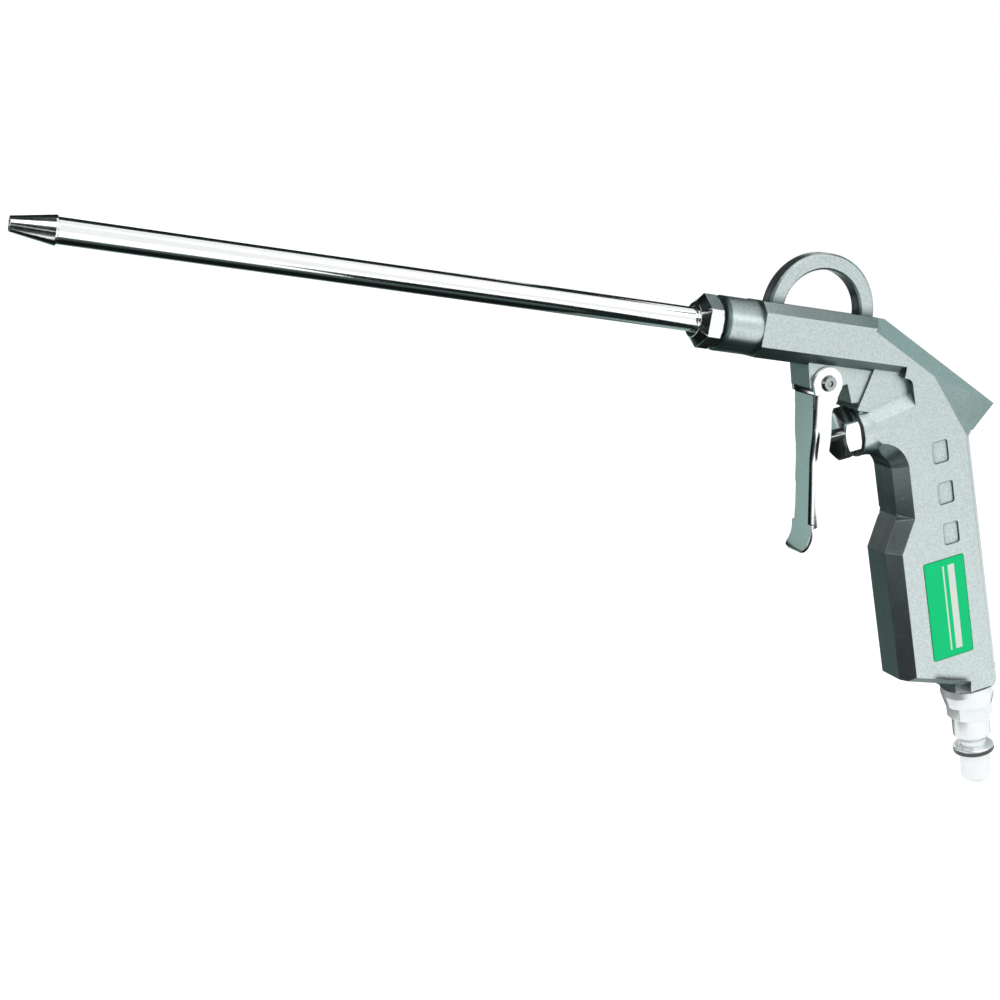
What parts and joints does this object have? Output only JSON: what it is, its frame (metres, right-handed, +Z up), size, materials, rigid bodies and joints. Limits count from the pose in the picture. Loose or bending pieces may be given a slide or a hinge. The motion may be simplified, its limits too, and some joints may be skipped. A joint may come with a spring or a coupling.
{
  "type": "air blow gun",
  "caption": "Hand-held air blow gun with a long straight nozzle, cast pistol body, lever trigger, hanging loop and quick-connect inlet plug.",
  "frame": {"origin": "centre of the nozzle's air outlet", "axes": "+X runs back along the barrel from the outlet to the grip, +Z is up towards the hanging loop, and the labelled side of the grip faces -Y"},
  "size_m": [0.3676, 0.0193, 0.1796],
  "materials": {
    "body_casting": "satin die-cast",
    "nozzle_tube": "bright",
    "nozzle_tip": "bright",
    "tube_ferrule": "plain",
    "nozzle_nut": "bright",
    "nut_ring": "matt",
    "nozzle_washer": "matt",
    "trigger_lever": "plated sheet",
    "pivot_pin": "plain",
    "pin_clip": "dark",
    "valve_gland": "bright",
    "gland_washer": "plain",
    "gland_o_ring": "matt",
    "stem_o_ring": "matt",
    "valve_stem": "turned",
    "valve_disc": "matt",
    "disc_nut": "turned",
    "valve_spring": "wire",
    "inlet_plug": "plated",
    "inlet_washer": "matt",
    "grip_label": "printed film"
  },
  "bodies": {
    "gun": {"body_casting": "body_casting", "nozzle_tube": "nozzle_tube", "nozzle_tip": "nozzle_tip", "tube_ferrule": "tube_ferrule", "nozzle_nut": "nozzle_nut", "nut_ring": "nut_ring", "nozzle_washer": "nozzle_washer", "pivot_pin": "pivot_pin", "pin_clip": "pin_clip", "valve_gland": "valve_gland", "gland_washer": "gland_washer", "gland_o_ring": "gland_o_ring", "stem_o_ring": "stem_o_ring", "valve_spring": "valve_spring", "inlet_plug": "inlet_plug", "inlet_washer": "inlet_washer", "grip_label": "grip_label"},
    "trigger": {"trigger_lever": "trigger_lever"},
    "stem": {"valve_stem": "valve_stem", "valve_disc": "valve_disc", "disc_nut": "disc_nut"}
  },
  "joints": [
    {"name": "trigger_pivot", "type": "hinge", "parent": "gun", "child": "trigger", "pos_m": [0.2656, 0, -0.0143], "axis": [0, -1, 0], "range_deg": [0, 10.5], "stiffness_Nm_per_rad": 0.6, "springref_deg": -22.92},
    {"name": "stem_slide", "type": "slide", "parent": "gun", "child": "stem", "axis": [0.9397, 0, 0.342], "range_m": [0, 0.0039], "stiffness_N_per_m": 10, "springref_m": -0.002, "deforming": ["valve_spring"]}
  ],
  "couplings": [
    {"joint": "stem_slide", "follows": "trigger_pivot", "m_per_rad": 0.0208}
  ]
}
